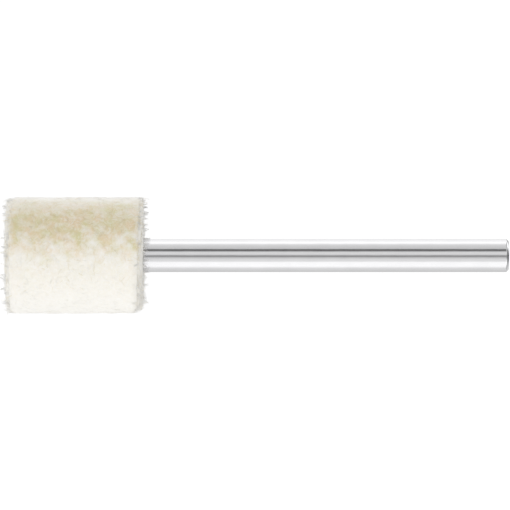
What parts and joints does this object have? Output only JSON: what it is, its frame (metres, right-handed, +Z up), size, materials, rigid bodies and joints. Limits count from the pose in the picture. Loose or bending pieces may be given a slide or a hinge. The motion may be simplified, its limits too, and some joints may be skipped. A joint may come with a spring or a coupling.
{
  "type": "mounted felt polishing bob",
  "caption": "Cylindrical wool felt polishing bob bonded on a straight steel shank, for use in a rotary hand tool or flexible shaft.",
  "frame": {"origin": "on the bob's axis, in the plane of the felt's rear face, where the free shank starts", "axes": "+X along the free shank, away from the felt; +Z up; the bob is round about X"},
  "size_m": [0.0452, 0.0104, 0.0104],
  "materials": {
    "wool_felt": "cream pressed wool felt with a short raised nap and faint tan mottling",
    "cured_adhesive": "cured amber adhesive",
    "ground_steel": "finely ground and polished"
  },
  "bodies": {
    "root": {"felt_body": "wool_felt", "adhesive": "cured_adhesive", "shank": "ground_steel"}
  },
  "joints": []
}
